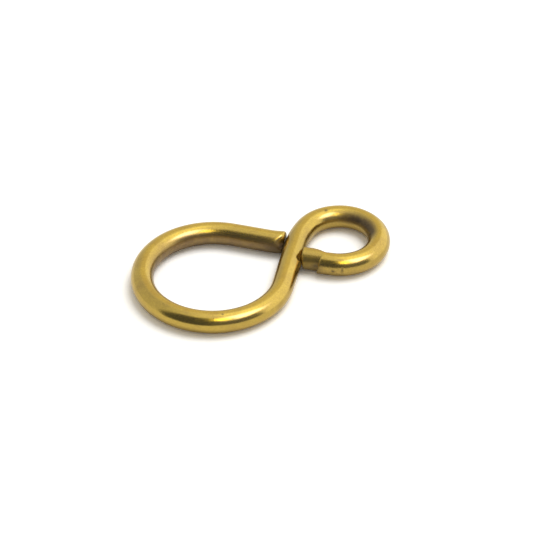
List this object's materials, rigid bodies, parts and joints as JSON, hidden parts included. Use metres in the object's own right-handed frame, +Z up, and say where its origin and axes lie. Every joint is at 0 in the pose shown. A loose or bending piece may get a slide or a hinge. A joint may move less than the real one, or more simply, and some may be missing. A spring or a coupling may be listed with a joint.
{
  "type": "s-hook",
  "caption": "Closed S-hook bent from round brass wire, with a large eye, a small eye and both cropped wire ends butted on the straight bar that crosses between them.",
  "frame": {"origin": "bottom centre of the bounding box, on the surface that the hook lies on", "axes": "+X from the large eye's centre to the small eye's centre, +Z up, square to the plane that the hook is bent in"},
  "size_m": [0.038, 0.0228, 0.0032],
  "materials": {
    "brass": "satin"
  },
  "bodies": {
    "root": {"hook_wire": "brass"}
  },
  "joints": []
}
